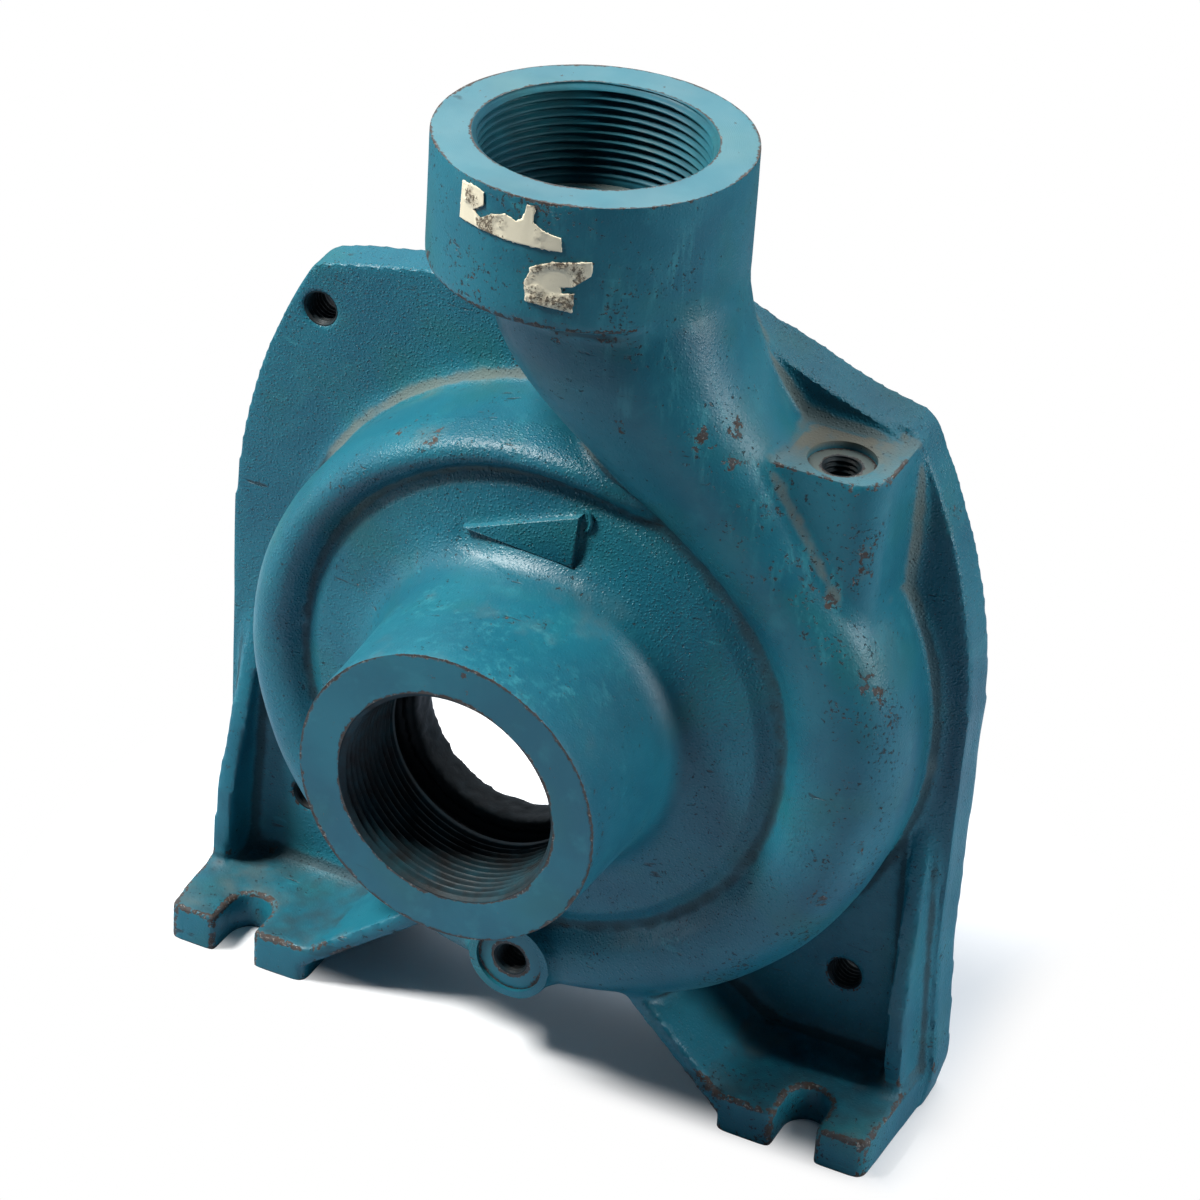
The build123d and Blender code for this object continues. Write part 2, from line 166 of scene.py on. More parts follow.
class Graph:
    """A node tree that is written as code."""

    def __init__(self, tree: bpy.types.NodeTree, space: str) -> None:
        """Empty a tree and give it coordinates.

        Args:
            tree: The node tree.
            space: Which texture coordinates the tree works in.
        """
        self.tree = tree
        self.tree.nodes.clear()
        self.place = self.add("ShaderNodeTexCoord").outputs[space]

    def add(self, kind: str, settings: dict[str, Any] | None = None,
            sockets: dict[str | int, Any] | None = None) -> bpy.types.Node:
        """Add any node.

        Args:
            kind: The node's type.
            settings: Properties to set first.
            sockets: Values or links for its inputs, by name or number.

        Returns:
            The node.
        """
        node = self.tree.nodes.new(kind)
        for key, value in (settings or {}).items():
            setattr(node, key, value)
        for key, value in (sockets or {}).items():
            source = value.socket if isinstance(value, Value) else value
            if isinstance(source, bpy.types.NodeSocket):
                self.tree.links.new(source, node.inputs[key])
            else:
                node.inputs[key].default_value = source
        return node

    def noise(self, size: float, detail: float = 2.0, roughness: float = 0.5,
              stretch: Place = (1.0, 1.0, 1.0), turn: Place = (0.0, 0.0, 0.0)) -> Value:
        """Cloudy noise with marks of a real size.

        Args:
            size: Size of the marks in metres.
            detail: Number of finer layers.
            roughness: Strength of the finer layers.
            stretch: Scale of the coordinates along X, Y and Z.
            turn: Turn of the coordinates in radians.

        Returns:
            A value round 0.5.
        """
        moved = self.add("ShaderNodeMapping", None,
                         {"Vector": self.place, "Scale": stretch, "Rotation": turn})
        node = self.add("ShaderNodeTexNoise", None, {
            "Vector": moved.outputs[0], "Scale": 1 / size, "Detail": detail,
            "Roughness": roughness})
        return Value(self.tree, node.outputs[0])

    def cells(self, size: float) -> Value:
        """Distance to the nearest of a set of scattered points, 0 on a point.

        Args:
            size: Spacing of the points in metres.

        Returns:
            The distance in spacings.
        """
        node = self.add("ShaderNodeTexVoronoi", None, {"Vector": self.place, "Scale": 1 / size})
        return Value(self.tree, node.outputs[0])

    def stored(self, name: str) -> Value:
        """Value painted on the mesh under a name."""
        node = self.add("ShaderNodeAttribute", {"attribute_name": name})
        return Value(self.tree, node.outputs["Fac"])

    def facing(self, axis: int) -> Value:
        """Part of the true surface normal along X, Y or Z."""
        normal = self.add("ShaderNodeNewGeometry").outputs["Normal"]
        return self.part(normal, axis)

    def part(self, vector: bpy.types.NodeSocket, axis: int) -> Value:
        """One component of a vector."""
        node = self.add("ShaderNodeSeparateXYZ", None, {0: vector})
        return Value(self.tree, node.outputs[axis])

    def reach(self, centre: Place, facing: Facing) -> Value:
        """Distance from an axis line through a point.

        Args:
            centre: A point on the line, in metres.
            facing: The line's direction.

        Returns:
            The distance in metres.
        """
        flat = tuple(1.0 - abs(part) for part in facing.value)
        offset = self.add("ShaderNodeVectorMath", {"operation": "SUBTRACT"},
                          {0: self.place, 1: centre})
        across = self.add("ShaderNodeVectorMath", {"operation": "MULTIPLY"},
                          {0: offset.outputs[0], 1: flat})
        length = self.add("ShaderNodeVectorMath", {"operation": "LENGTH"}, {0: across.outputs[0]})
        return Value(self.tree, length.outputs["Value"])

    def mix(self, amount: "Value | float", under: Any, over: Any) -> bpy.types.NodeSocket:
        """Blend two colours.

        Args:
            amount: How much of the second shows, from 0 to 1.
            under: First colour, or a colour socket.
            over: Second colour, or a colour socket.

        Returns:
            The colour socket.
        """
        ends = [(*end, 1.0) if isinstance(end, tuple) else end for end in (under, over)]
        node = self.add("ShaderNodeMix", {"data_type": "RGBA"},
                        {0: amount, 6: ends[0], 7: ends[1]})
        return node.outputs[2]

    def blend(self, amount: Any, under: bpy.types.Node, over: bpy.types.Node) -> bpy.types.Node:
        """Mix two shaders, with the amount that shows of the second."""
        return self.add("ShaderNodeMixShader", None,
                        {0: amount, 1: under.outputs[0], 2: over.outputs[0]})

    def camera_sees(self, seen: bpy.types.Node, lit_by: bpy.types.Node) -> bpy.types.Node:
        """Show one shader to the camera and another to everything else."""
        path = self.add("ShaderNodeLightPath")
        return self.blend(path.outputs["Is Camera Ray"], lit_by, seen)


class Shader(Graph):
    """A material whose nodes are written as code."""

    def __init__(self, name: str) -> None:
        """Start an empty material.

        Args:
            name: The material's name.
        """
        self.material = bpy.data.materials.new(name)
        self.material.use_nodes = True
        super().__init__(self.material.node_tree, "Object")

    def surface(self, colour: Any, roughness: Any, height: Value | None = None,
                depth: float = 0.0, **constants: float) -> bpy.types.Material:
        """Finish the material.

        Args:
            colour: Base colour socket.
            roughness: Roughness value.
            height: Relief from 0 to 1.
            depth: Depth of the relief in metres.
            constants: Plain values of other sockets, with _ for a space.

        Returns:
            The material.
        """
        sockets = {"Base Color": colour, "Roughness": roughness}
        sockets.update({key.replace("_", " "): value for key, value in constants.items()})
        if height is not None:
            bump = self.add("ShaderNodeBump", None, {"Height": height, "Distance": depth})
            sockets["Normal"] = bump.outputs[0]
        shader = self.add("ShaderNodeBsdfPrincipled", None, sockets)
        self.add("ShaderNodeOutputMaterial", None, {"Surface": shader.outputs[0]})
        return self.material


@dataclass(frozen=True)
class Enamel:
    """Colours that every painted surface of the casing shares."""

    paint: Colour = (0.009, 0.136, 0.188)
    paint_deep: Colour = (0.005, 0.094, 0.142)
    paint_fresh: Colour = (0.028, 0.215, 0.260)
    iron: Colour = (0.052, 0.052, 0.054)
    rust: Colour = (0.046, 0.031, 0.024)
    # Dark soot colour. In creases, the groove, on the foot tops and in bores it is also painted
    # shade.
    soot_and_shade: Colour = (0.012, 0.016, 0.018)
    dust: Colour = (0.150, 0.140, 0.105)
    # Chalky film colour, also a painted reflection of the bright room on the boss's top ring.
    chalk_and_sheen: Colour = (0.130, 0.235, 0.260)
    metal: Colour = (0.300, 0.285, 0.260)
    green: Colour = (0.011, 0.118, 0.120)
    # Lighter rubbed paint, also used as a painted highlight on the neck's ridge, the boss's side
    # and the nose top.
    rubbed_and_sheen: Colour = (0.042, 0.255, 0.300)

    def coat(self, shader: Shader) -> bpy.types.NodeSocket:
        """Cloudy paint colour with thinner and fresher places."""
        clouds = shader.noise(35 * MM, 4.0, 0.55).ease(0.35, 0.70)
        thin = shader.noise(9 * MM, 5.0, 0.6).ease(0.52, 0.78) * 0.35
        greener = shader.noise(27 * MM, 3.0, 0.5, turn=(0.7, 0.2, 1.1)).ease(0.48, 0.72) * 0.5
        colour = shader.mix(clouds, self.paint, self.paint_deep)
        colour = shader.mix(greener, colour, self.green)
        return shader.mix(thin, colour, self.paint_fresh)

    def bare(self, shader: Shader) -> bpy.types.NodeSocket:
        """Chipped metal, from grey iron to brown rust."""
        blend = shader.noise(2.2 * MM, 3.0).ease(0.40, 0.62)
        glint = shader.noise(0.9 * MM, 3.0, 0.6).ease(0.58, 0.68) * 0.6
        return shader.mix(glint, shader.mix(blend, self.iron, self.rust), self.metal)


@dataclass(frozen=True)
class CastPaint:
    """Worn enamel over sand-cast iron, with dirt and painted shade in the crevices and chipped
    edges.
    """

    enamel: Enamel
    name: str = "cast_paint"
    relief: float = 0.30 * MM
    shine: float = 0.35
    gloss: float = 0.45
    blotch_size: float = 14 * MM
    speckle_size: float = 1.5 * MM
    flake_size: float = 2.0 * MM
    pit_size: float = 1.2 * MM
    score_size: float = 1.7 * MM
    grime_and_shade_size: float = 6 * MM
    dot_spacing: float = 0.85 * MM
    hole_spacing: float = 1.7 * MM
    grain_size: float = 0.7 * MM
    chip_level: Span = (0.93, 1.00)
    flake_level: Span = (0.73, 0.75)
    pit_level: Span = (0.665, 0.705)
    score_level: Span = (0.67, 0.72)
    grime_and_shade_level: Span = (0.28, 0.90)

    def material(self) -> bpy.types.Material:
        """Build the material."""
        shader = Shader(self.name)
        enamel = self.enamel
        wear, crevice_dirt_and_shade, sand, pitted, scar, groove_shade, rubbed_and_sheen = (shader.stored(name) for name in (
            "wear", "crevice_dirt_and_shade", "sand", "pitted", "scar", "groove_shade", "rubbed_and_sheen"))
        upward = shader.facing(2).ease(0.2, 0.95)
        high = shader.part(shader.place, 2).ease(10 * MM, 70 * MM)

        blotch = shader.noise(self.blotch_size, 5.0, 0.65)
        speckle = shader.noise(self.speckle_size, 3.0, 0.6)
        chips = (wear + (speckle - 0.5) * 1.5 + (blotch - 0.5) * 1.3).ease(*self.chip_level)
        flakes = shader.noise(self.flake_size, 4.0, 0.66) + (blotch - 0.5) * 0.45
        flakes = (flakes + scar * 0.19 + pitted * 0.06).ease(*self.flake_level)
        pits = shader.noise(self.pit_size, 4.0, 0.65) + (blotch - 0.5) * 0.40
        pits = (pits + pitted * 0.06).ease(*self.pit_level)
        scores = shader.noise(self.score_size, 2.0, 0.5, stretch=(0.14, 1.0, 1.0),
                              turn=(0.2, 0.9, 0.5))
        scores = scores.ease(*self.score_level) * blotch.ease(0.48, 0.60) * 0.75

        # Grime in hollows and creases: partly real dirt and rust scars, partly painted shade where
        # creases fall dark.
        grime_and_shade = crevice_dirt_and_shade * 0.95 + scar * 0.40 + (shader.noise(self.grime_and_shade_size, 4.0) - 0.5) * 0.9
        grime_and_shade = grime_and_shade.ease(*self.grime_and_shade_level)
        # Dust high up and soot low down. Where the groove's shade mask is set, the grime turns to
        # soot as painted shade.
        drift = (shader.noise(24 * MM, 2.0) + high * 0.30 - groove_shade * 0.6).ease(0.56, 0.78)
        dusty = upward * shader.noise(22 * MM, 4.0, 0.6).ease(0.54, 0.74) * 0.25
        settled = shader.noise(3 * MM, 5.0, 0.6).ease(0.05, 0.55) * 0.95
        dusty = dusty.most(shader.stored("dusty") * settled).most(grime_and_shade * drift * 0.58)
        scuffs = shader.noise(5 * MM, 3.0, 0.6, stretch=(0.35, 1.0, 1.6), turn=(0.3, 0.5, 0.4))
        scuffs = scuffs.ease(0.66, 0.72) * blotch.ease(0.45, 0.6) * 0.55
        # Streaks of lighter paint: partly rubbed paint, partly painted highlight along the neck
        # ridge, boss side and nose top.
        streaks = shader.noise(2.4 * MM, 4.0, 0.65, stretch=(1.0, 1.0, 0.14),
                               turn=(0.0, 0.25, 0.0))
        streaks = streaks.ease(0.48, 0.68) * (rubbed_and_sheen * blotch.ease(0.36, 0.62)) * 0.60
        dots = (0.52 - shader.cells(self.dot_spacing)).ease(0.0, 0.50)
        holes = 0.16 - shader.cells(self.hole_spacing) + (speckle - 0.5) * 0.3
        holes = holes.ease(0.0, 0.07) * sand

        colour = enamel.coat(shader)
        # Sand dots take a little fresh paint colour as painted glints on the grain tops. The scuffs
        # are real fresher paint.
        colour = shader.mix(scuffs.most(dots * sand * 0.08), colour, enamel.paint_fresh)
        colour = shader.mix(streaks, colour, enamel.rubbed_and_sheen)
        # Soot-coloured grime: painted shade in the creases and the groove, together with real dirt.
        colour = shader.mix(grime_and_shade * (1 - drift) * 0.68, colour, enamel.soot_and_shade)
        colour = shader.mix(dusty, colour, enamel.dust)
        colour = shader.mix((pits * 0.85).most(scores).most(holes * 0.6), colour, enamel.soot_and_shade)
        colour = shader.mix(chips.most(flakes), colour, enamel.bare(shader))

        dull = chips.most(flakes).most(pits).most(dusty)
        roughness = self.shine + shader.noise(4 * MM, 3.0) * 0.12 + grime_and_shade * 0.28 + dull * 0.25
        grains = dots * 0.42 + shader.noise(self.grain_size, 2.0, 0.6) * 0.68
        hollows = chips * 0.35 + flakes * 0.45 + (pits + scores + holes) * 0.5
        height = grains * (0.12 + sand * 0.88) - hollows
        return shader.surface(colour, roughness, height, self.relief,
                              Specular_IOR_Level=self.gloss)


@dataclass(frozen=True)
class TurnedPaint:
    """Painted ring face that was turned flat, with chipped rims."""

    enamel: Enamel
    name: str
    centre: Place
    facing: Facing
    outer: float
    inner: float
    chip: float = 0.9 * MM
    relief: float = 0.02 * MM
    feed: float = 0.5 * MM
    haze_and_sheen: float = 0.0
    film: Colour = Enamel.chalk_and_sheen

    def material(self) -> bpy.types.Material:
        """Build the material."""
        shader = Shader(self.name)
        reach = shader.reach(self.centre, self.facing)
        speckle = shader.noise(1.4 * MM, 4.0, 0.65)
        patches = shader.noise(8 * MM, 3.0)
        ragged = (speckle - 0.5) * (2.4 * self.chip) + (patches - 0.5) * (2.6 * self.chip)
        rim = (reach + ragged).ease(self.outer - self.chip, self.outer - 0.45 * self.chip)
        lip = (reach - ragged).ease(self.inner + 0.25 * self.chip, self.inner + 0.7 * self.chip)
        chips = rim.most(1 - lip)
        nicks = (shader.noise(2.6 * MM, 4.0, 0.65) + (patches - 0.5) * 0.5).ease(0.72, 0.75)
        scratches = shader.noise(1.6 * MM, 2.0, 0.5, stretch=(0.10, 0.10, 1.0),
                                 turn=(0.4, 0.9, 0.2))
        scratches = scratches.ease(0.70, 0.74) * patches.ease(0.45, 0.55) * 0.6

        worn = shader.noise(16 * MM, 3.0).ease(0.2, 0.8) * 0.5 + 0.5
        # Film colour hazed over the face: on the boss's top ring a chalky film and painted
        # reflection, on the priming spot real dust.
        colour = shader.mix(worn * self.haze_and_sheen, self.enamel.coat(shader), self.film)
        colour = shader.mix(scratches, colour, self.enamel.soot_and_shade)
        colour = shader.mix(chips.most(nicks), colour, self.enamel.bare(shader))
        roughness = 0.40 + shader.noise(5 * MM, 3.0) * 0.10 + chips * 0.3
        grooves = (reach * (2 * math.pi / self.feed)).wave() * 0.5 + 0.5
        height = grooves * 0.5 + speckle * 0.6 - chips.most(nicks) * 4.0
        return shader.surface(colour, roughness, height, self.relief, Specular_IOR_Level=0.5)


@dataclass(frozen=True)
class TurnedIron:
    """Bare turned iron at the back, oiled and browned, with overspray near its rim."""

    enamel: Enamel
    name: str = "turned_iron"
    feed: float = 0.35 * MM

    def material(self) -> bpy.types.Material:
        """Build the material."""
        shader = Shader(self.name)
        reach = shader.reach((0, 0, 0), Facing.FORWARD)
        blotch = shader.noise(18 * MM, 5.0, 0.6)
        speckle = shader.noise(1.6 * MM, 4.0, 0.6)
        brown = (blotch + (speckle - 0.5) * 0.6).ease(0.48, 0.66)
        colour = shader.mix(brown, (0.21, 0.20, 0.19), self.enamel.rust)
        drift = (reach + (blotch - 0.5) * (40 * MM)).ease(96 * MM, 108 * MM)
        colour = shader.mix(drift, colour, self.enamel.coat(shader))
        grooves = (reach * (2 * math.pi / self.feed)).wave() * 0.5 + 0.5
        roughness = 0.38 + brown * 0.32
        return shader.surface(colour, roughness, grooves + speckle, 0.02 * MM,
                              Metallic=(1 - brown) * (1 - drift) * 0.85)


@dataclass(frozen=True)
class BorePaint:
    """Thin dirty paint inside a threaded or machined bore, darkened by soot that is partly dirt and
    partly painted shade.
    """

    enamel: Enamel
    name: str
    dirt: float
    warmth: float = 0.0

    def material(self) -> bpy.types.Material:
        """Build the material."""
        shader = Shader(self.name)
        blotch = shader.noise(7 * MM, 5.0, 0.6)
        colour = self.enamel.coat(shader)
        brown = shader.mix(blotch.ease(0.35, 0.65), self.enamel.soot_and_shade, self.enamel.rust)
        colour = shader.mix(self.warmth, colour, brown)
        # Soot blotches scaled by the dirt amount: dirt and painted shade deep in the bore.
        colour = shader.mix((blotch * self.dirt * 2).least(1.0), colour, self.enamel.soot_and_shade)
        specks = shader.noise(0.9 * MM, 3.0).ease(0.68, 0.74)
        colour = shader.mix(specks * 0.7, colour, self.enamel.iron)
        grains = shader.noise(0.8 * MM, 3.0)
        return shader.surface(colour, 0.5 + specks * 0.25, grains, 0.05 * MM,
                              Specular_IOR_Level=0.22)


@dataclass(frozen=True)
class TornPaper:
    """Cream label paper, greyed and torn."""

    name: str = "torn_paper"
    paper: Colour = (0.72, 0.66, 0.50)
    grey: Colour = (0.26, 0.215, 0.155)
    soil: Colour = (0.085, 0.064, 0.045)

    def material(self) -> bpy.types.Material:
        """Build the material."""
        shader = Shader(self.name)
        worn = shader.stored("worn")
        smudge = shader.noise(2.6 * MM, 5.0, 0.65)
        crumbs = shader.noise(0.9 * MM, 4.0, 0.7)
        dirt = (smudge + worn * 0.30).ease(0.60, 0.90)
        cracks = (crumbs + worn * 0.26).ease(0.70, 0.78)
        colour = shader.mix(dirt * 0.6, self.paper, self.grey)
        colour = shader.mix(cracks * 0.85, colour, self.soil)
        fibres = shader.noise(0.35 * MM, 3.0, 0.6)
        relief = fibres * 0.4 + smudge * 0.5 + crumbs * worn * 2.0
        return shader.surface(colour, 0.85, relief, 0.14 * MM, Specular_IOR_Level=0.2)


def lattice_noise(points: np.ndarray, size: float, seed: int) -> np.ndarray:
    """Smooth random values at points in space.

    Args:
        points: Rows of X, Y and Z in metres.
        size: Size of the marks in metres.
        seed: Which random field.

    Returns:
        One value from -1 to 1 for each point.
    """
    cell = points / size
    base = np.floor(cell).astype(np.int64)
    part = cell - base
    part = part * part * (3 - 2 * part)
    total = np.zeros(len(points))
    for corner in itertools.product((0, 1), repeat=3):
        key = (base + np.array(corner)) * HASH_AXES
        mixed = np.bitwise_xor.reduce(key, axis=1) ^ seed * HASH_SEED
        mixed = (mixed ^ (mixed >> 13)) * HASH_MIX
        value = ((mixed >> 8) & 0xFFFF) / 32767.5 - 1
        total += np.prod(np.where(corner, part, 1 - part), axis=1) * value
    return total


def rough(points: np.ndarray, *layers: tuple[float, float, int]) -> np.ndarray:
    """Add up layers of smooth random relief.

    Args:
        points: Rows of X, Y and Z in metres.
        layers: Depth and size in millimetres and the seed of each layer.

    Returns:
        One height in metres for each point.
    """
    return sum(depth * MM * lattice_noise(points, size * MM, seed)
               for depth, size, seed in layers)


def ease(values: np.ndarray, low: float, high: float) -> np.ndarray:
    """Smooth step of an array from 0 at low to 1 at high."""
    share = np.clip((values - low) / (high - low), 0, 1)
    return share * share * (3 - 2 * share)


def between(values: np.ndarray, low: float, high: float) -> np.ndarray:
    """Mark the values that lie between low and high."""
    return (values > low) & (values < high)


def read_rows(items: Any, name: str) -> np.ndarray:
    """Read one vector of each corner or face of a mesh.

    Args:
        items: The mesh's vertices or faces.
        name: Which of their vectors.

    Returns:
        One row for each item.
    """
    rows = np.empty(len(items) * 3)
    items.foreach_get(name, rows)
    return rows.reshape(-1, 3)


class Skin:
    """Points, normals and links of a mesh, for smoothing and measuring it."""

    def __init__(self, mesh: bpy.types.Mesh) -> None:
        """Read a mesh.

        Args:
            mesh: The mesh to read.
        """
        self.points = read_rows(mesh.vertices, "co")
        self.normals = read_rows(mesh.vertices, "normal")
        links = np.empty(len(mesh.edges) * 2, dtype=np.int64)
        mesh.edges.foreach_get("vertices", links)
        self.links = links.reshape(-1, 2)
        self.degree = np.bincount(links, minlength=len(self.points)).astype(float)

    def spread(self, values: np.ndarray, rounds: int) -> np.ndarray:
        """Average values with their neighbours, several times over.

        Args:
            values: One row for each point.
            rounds: Number of passes.

        Returns:
            The smoothed rows.
        """
        first, second = self.links.T
        for _ in range(rounds):
            mean = np.empty_like(values)
            for column in range(values.shape[1]):
                total = np.bincount(first, values[second, column], len(values))
                total += np.bincount(second, values[first, column], len(values))
                mean[:, column] = total / self.degree
            values = (values + mean) / 2
        return values


def new_object(name: str, mesh: bpy.types.Mesh) -> bpy.types.Object:
    """Link a mesh to the scene as an object."""
    piece = bpy.data.objects.new(name, mesh)
    bpy.context.scene.collection.objects.link(piece)
    return piece


def settle(piece: bpy.types.Object) -> None:
    """Turn an object's modifiers into its mesh."""
    graph = bpy.context.evaluated_depsgraph_get()
    mesh = bpy.data.meshes.new_from_object(piece.evaluated_get(graph))
    piece.modifiers.clear()
    piece.data = mesh


def remesh(piece: bpy.types.Object, voxel: float) -> None:
    """Rebuild an object's surface from even cells of a given size."""
    step = piece.modifiers.new("skin", "REMESH")
    step.mode = "VOXEL"
    step.voxel_size = voxel
    settle(piece)


def combine(piece: bpy.types.Object, mesh: bpy.types.Mesh, operation: str) -> None:
    """Join a solid to an object, or cut it away.

    Args:
        piece: The object.
        mesh: The other solid.
        operation: The boolean's operation.
    """
    other = new_object("other", mesh)
    step = piece.modifiers.new("combine", "BOOLEAN")
    step.operation = operation
    step.solver = "MANIFOLD"
    step.object = other
    settle(piece)
    bpy.data.objects.remove(other)


def to_mesh(form: bmesh.types.BMesh, name: str) -> bpy.types.Mesh:
    """Turn a form into a mesh."""
    mesh = bpy.data.meshes.new(name)
    form.to_mesh(mesh)
    form.free()
    return mesh


def store(mesh: bpy.types.Mesh, name: str, values: np.ndarray) -> None:
    """Paint a value for each corner on a mesh."""
    layer = mesh.attributes.new(name, "FLOAT", "POINT")
    layer.data.foreach_set("value", values.astype(np.float32))


def ring_mesh(name: str, rings: np.ndarray, closed: bool) -> bpy.types.Mesh:
    """Skin a row of rings.

    Args:
        name: The mesh's name.
        rings: Points in metres, by ring and by step round it.
        closed: Whether the last ring joins the first. Caps close the ends otherwise.

    Returns:
        The mesh.
    """
    count, around = rings.shape[:2]
    index = np.arange(count * around).reshape(count, around)
    faces = [] if closed else [tuple(index[0]), tuple(index[-1][::-1])]
    for row in range(count if closed else count - 1):
        low, high = index[row], index[(row + 1) % count]
        faces += zip(low, high, np.roll(high, -1), np.roll(low, -1))
    mesh = bpy.data.meshes.new(name)
    mesh.from_pydata(rings.reshape(-1, 3).tolist(), [], [tuple(map(int, face)) for face in faces])
    form = bmesh.new()
    form.from_mesh(mesh)
    bmesh.ops.recalc_face_normals(form, faces=form.faces)
    form.to_mesh(mesh)
    form.free()
    return mesh


def dress(piece: bpy.types.Object) -> None:
    """Ride a piece on the body."""
    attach(piece, BODY)


@dataclass(frozen=True)
class Cut:
    """One machined surface: a round or square tool that runs along a direction.

    The depths are distances along the facing direction from the origin.
    """

    facing: Facing
    centre: Place
    low: float
    high: float
    radius: float
    radius_high: float | None = None
    square: bool = False
    segments: int = 128

    def add_to(self, form: bmesh.types.BMesh) -> None:
        """Add the tool's solid to a form.

        Args:
            form: The mesh that gathers the tools.
        """
        axis = Vector(self.facing.value)
        centre = Vector(self.centre)
        centre = centre - axis * centre.dot(axis) + axis * (self.low + self.high) / 2
        place = Matrix.Translation(centre) @ self.facing.matrix()
        if self.square:
            size = (2 * self.radius, 2 * self.radius, self.high - self.low)
            place = place @ Matrix.Diagonal((*size, 1.0))
            bmesh.ops.create_cube(form, size=1.0, matrix=place)
            return
        top = self.radius if self.radius_high is None else self.radius_high
        bmesh.ops.create_cone(form, cap_ends=True, segments=self.segments, radius1=self.radius,
                              radius2=top, depth=self.high - self.low, matrix=place)


@dataclass
class Machining:
    """Sizes of the machined faces and bores, and the tools that cut them."""

    boss_axis: Place = (0.0, -27 * MM, 0.0)
    boss_top: float = 155 * MM
    boss_radius: float = 40 * MM
    nose_face: float = 93 * MM
    nose_radius: float = 41 * MM
    base: float = 112 * MM
    port_wall: float = 29.95 * MM
    port_major: float = 29.9 * MM
    port_minor: float = 28.35 * MM
    thread_length: float = 27 * MM
    register: Span = (84 * MM, 6 * MM)
    chamber: Span = (69 * MM, 37.5 * MM)
    core: Span = (36 * MM, 70 * MM)
    screws: Span = (82 * MM, 77.5 * MM)
    flange: float = 12 * MM
    screw_wall: float = 5.0 * MM
    screw_mouth: float = 5.4 * MM
    blind_depth: float = 10 * MM
    prime: Place = (72 * MM, -29.5 * MM, 0.0)
    prime_end: float = 56 * MM
    pad_top: float = 88 * MM
    prime_spot: Span = (8.7 * MM, 2 * MM)
    drain: Place = (0.0, 0.0, -80 * MM)
    drain_end: float = 26 * MM
    drain_face: float = 49 * MM
    drain_radius: float = 12.2 * MM
    drain_spot: Span = (9.6 * MM, 1.2 * MM)
    plug_wall: float = 5.0 * MM
    plug_lip: float = 5.2 * MM
    stock: float = 2 * MM
    clear: float = 4 * MM
    near: float = 0.02 * MM

    def screw_places(self) -> list[Place]:
        """Centres of the flange screws. The last one, behind the priming boss, is blind."""
        x, z = self.screws
        return [(-x, 0.0, z), (-x, 0.0, -z), (x, 0.0, -z), (x, 0.0, z)]

    def add_stock(self, points: np.ndarray) -> np.ndarray:
        """Leave metal to cut away on the machined faces and bores.

        Args:
            points: Corners of the finished form.

        Returns:
            Corners of the raw casting.
        """
        raw = points.copy()
        near = self.near
        x, y, z = points.T
        raw[np.abs(z - self.boss_top) < near, 2] += self.stock
        raw[np.abs(y + self.nose_face) < near, 1] -= self.stock
        raw[np.abs(z + self.base) < near, 2] -= self.stock
        drain = np.hypot(x - self.drain[0], z - self.drain[2]) < self.drain_radius
        drain &= y < -self.drain_face + self.drain_spot[1] + near
        raw[drain, 1] = -self.drain_face - self.stock / 2
        reach = np.hypot(x, z)
        for radius, depth in (self.register, self.chamber):
            wall = np.abs(reach - radius) < near
            raw[wall, 0] *= 1 - self.stock / 2 / radius
            raw[wall, 2] *= 1 - self.stock / 2 / radius
            floor = (np.abs(y + depth) < near) & (reach < radius + near)
            raw[floor, 1] += self.stock / 4
        spot = np.hypot(x - self.prime[0], y - self.prime[1]) < self.prime_spot[0] + near
        spot &= np.abs(z - self.pad_top + self.prime_spot[1]) < near
        raw[spot, 2] = self.pad_top
        return raw

    def stages(self) -> list[list[Cut]]:
        """Tools in groups, with no two tools of a group touching."""
        up, forward, back = Facing.UP, Facing.FORWARD, Facing.BACK
        middle = (0.0, 0.0, 0.0)
        far = self.clear
        *through, blind = self.screw_places()
        faces = [
            Cut(up, self.boss_axis, self.boss_top, self.boss_top + far, 45 * MM, square=True),
            Cut(forward, middle, self.nose_face, self.nose_face + far, 50 * MM, square=True),
            Cut(up, (0, -20 * MM, 0), -self.base - far, -self.base, 125 * MM, square=True),
            Cut(forward, self.drain, self.drain_face, self.drain_face + far, 14 * MM, square=True),
        ]
        bores = [
            Cut(up, self.boss_axis, self.boss_top - self.thread_length, self.boss_top + far,
                self.port_wall, segments=192),
            Cut(forward, middle, self.nose_face - self.thread_length, self.nose_face + far,
                self.port_wall, segments=192),
            Cut(back, middle, -self.chamber[1], far, self.chamber[0], segments=256),
            Cut(up, self.prime, self.prime_end, self.pad_top + far, self.plug_wall, segments=48),
            Cut(forward, self.drain, self.drain_end, self.drain_face + far, self.plug_wall,
                segments=48),
            Cut(back, blind, -self.blind_depth, far, self.screw_wall, segments=48),
        ]
        bores += [Cut(forward, place, -far, self.flange + far, self.screw_wall, segments=48)
                  for place in through]
        mouths = [
            Cut(back, middle, -self.register[1], far, self.register[0], segments=256),
            Cut(up, self.prime, self.pad_top - self.prime_spot[1], self.pad_top + far,
                self.prime_spot[0], segments=64),
            Cut(forward, self.drain, self.drain_face - self.drain_spot[1], self.drain_face + far,
                self.drain_spot[0], segments=64),
        ]
        step = self.screw_mouth - self.screw_wall
        mouths += [Cut(forward, place, self.flange - step, self.flange + step,
                       self.screw_wall, self.screw_mouth + step, segments=48)
                   for place in through]
        return [faces, bores, mouths]

    def cut(self, piece: bpy.types.Object) -> None:
        """Cut a raw casting to its machined faces and bores.

        Args:
            piece: The casting.
        """
        for stage in self.stages():
            form = bmesh.new()
            for tool in stage:
                tool.add_to(form)
            combine(piece, to_mesh(form, "tools"), "DIFFERENCE")


